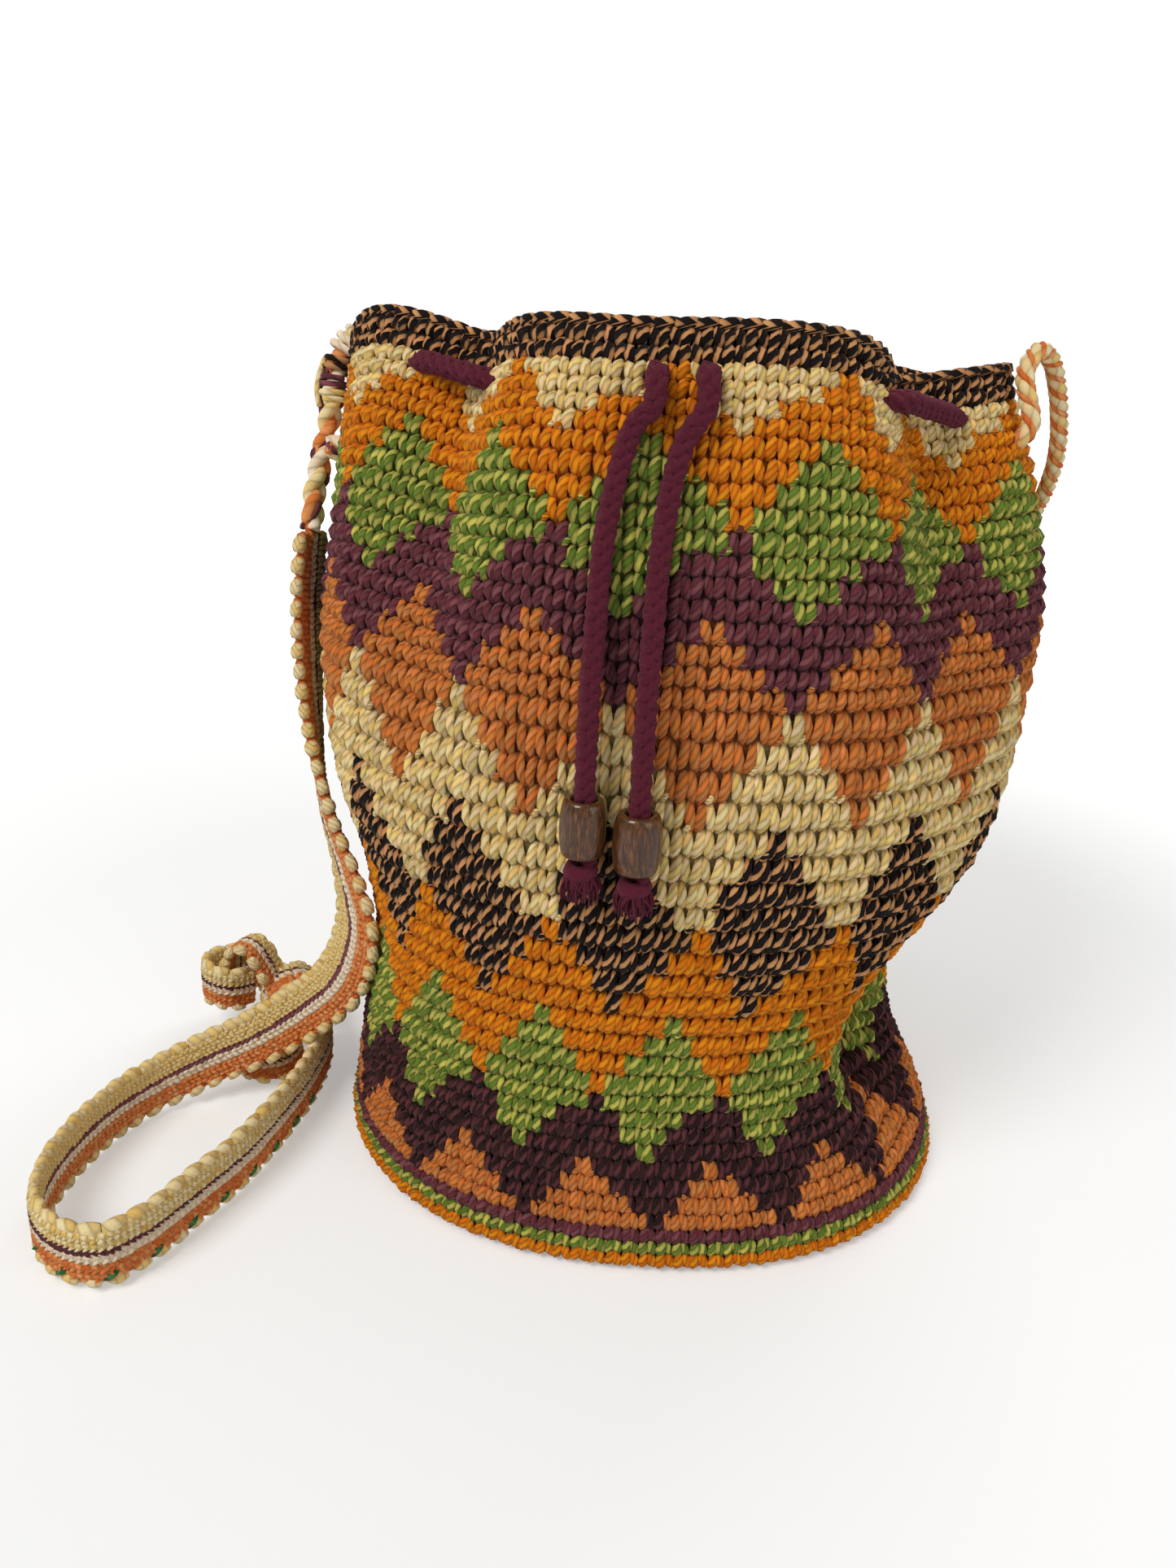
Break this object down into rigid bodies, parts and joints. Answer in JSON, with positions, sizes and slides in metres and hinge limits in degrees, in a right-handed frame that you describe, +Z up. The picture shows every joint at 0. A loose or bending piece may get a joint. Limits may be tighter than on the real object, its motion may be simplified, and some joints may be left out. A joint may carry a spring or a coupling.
{
  "type": "crossbody bag",
  "caption": "Slumped crocheted bucket bag with a pleated drawstring mouth, wooden beads on the cord tails and a woven crossbody band knotted at one side.",
  "frame": {"origin": "centre of the round base, on the surface the bag stands on", "axes": "+Z up, -Y toward the front with the two drawstring tails, +X to the right seen from the front"},
  "size_m": [0.311, 0.2695, 0.2651],
  "materials": {
    "crocheted_yarn": "matte crocheted cotton in orange, green, plum, peach, cream and black, plied yarn",
    "drawstring_cord": "matte braided plum cord with a soft pile",
    "bead_wood": "brown wood under a glossy varnish",
    "woven_band": "matte woven cotton with lengthwise stripes and scalloped edges"
  },
  "bodies": {
    "bag": {"bag_body": "crocheted_yarn", "drawstring": "drawstring_cord", "knot_left": "drawstring_cord", "knot_right": "drawstring_cord", "strap_left": "woven_band", "strap_right": "woven_band", "strap_bow_upper": "woven_band", "strap_bow_lower": "woven_band", "strap_knot": "woven_band", "strap_braid_left": "woven_band", "strap_loop_right": "woven_band"},
    "bead_left": {"bead_left": "bead_wood"},
    "bead_right": {"bead_right": "bead_wood"}
  },
  "joints": [
    {"name": "bead_left_slide", "type": "slide", "parent": "bag", "child": "bead_left", "axis": [0, 0, 1], "range_m": [0, 0.03]},
    {"name": "bead_right_slide", "type": "slide", "parent": "bag", "child": "bead_right", "axis": [0, 0, 1], "range_m": [0, 0.03]}
  ]
}
